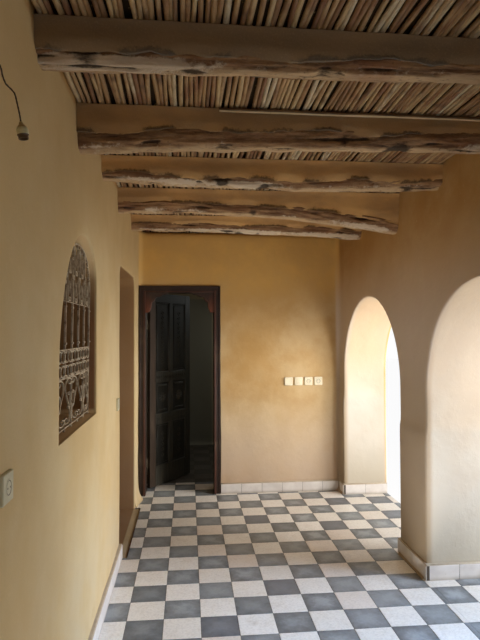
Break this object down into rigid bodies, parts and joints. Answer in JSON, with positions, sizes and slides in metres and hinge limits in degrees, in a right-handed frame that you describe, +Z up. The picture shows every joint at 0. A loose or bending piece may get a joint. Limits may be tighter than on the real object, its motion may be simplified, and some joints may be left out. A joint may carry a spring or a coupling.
{
  "type": "adobe house gallery",
  "caption": "Earth-walled covered gallery with an open round-arched arcade, log and cane ceiling, checkered tile floor, grilled window and carved end door into a small room",
  "frame": {"origin": "middle of the footprint, on the ground under the base", "axes": "+Z up, +Y along the gallery from the open entrance arch to the room, +X towards the arcade"},
  "size_m": [2.81, 8.49, 3.136],
  "materials": {
    "earth": "rough mud",
    "floor_tile": "worn cement tile, cream and grey-green checks",
    "plaster": "hand-trowelled earthen plaster",
    "log_wood": "rough log with remains of bark and whitewash",
    "cane": "peeled cane",
    "iron": "wrought, dull grey-brown",
    "dark_wood": "dark stained and carved",
    "skirting_tile": "cream tile",
    "plate": "cream switch plate",
    "flex": "old twisted flex"
  },
  "bodies": {
    "root": {"base": "earth", "gallery_floor": "floor_tile", "room_floor": "floor_tile", "window_wall_near": "plaster", "window_wall_below": "plaster", "window_wall_above": "plaster", "window_wall_middle": "plaster", "side_doorway_head": "plaster", "window_wall_far": "plaster", "end_wall": "plaster", "end_wall_over_door": "plaster", "arcade_piers": "plaster", "arch_1": "plaster", "arch_2": "plaster", "arch_3": "plaster", "entrance_piers": "plaster", "entrance_arch": "plaster", "room_side_walls": "plaster", "room_back_wall": "plaster", "wall_head_window_side": "plaster", "wall_head_arcade_side": "plaster", "parapet_entrance": "plaster", "parapet_room": "plaster", "gallery_beams": "log_wood", "room_beams": "log_wood", "beam_plaster": "earth", "ceiling_pole": "log_wood", "cane_ceiling": "cane", "roof_earth": "earth", "window_grille": "iron", "window_shutters": "dark_wood", "side_door": "dark_wood", "side_door_step": "earth", "door_frame": "dark_wood", "door_lobes": "dark_wood", "door_hinge_pins": "iron", "skirting_window_side": "skirting_tile", "skirting_end": "skirting_tile", "skirting_arcade": "skirting_tile", "wall_plates": "plate", "side_plates": "plate", "lamp_flex": "flex", "lamp_holder": "plate"},
    "door": {"door_leaf": "dark_wood", "door_straps": "iron"}
  },
  "joints": [
    {"name": "door_hinge", "type": "hinge", "parent": "root", "child": "door", "pos_m": [-0.929, 1.723, 1.1], "axis": [0, 0, 1], "range_deg": [-55, 33]}
  ]
}
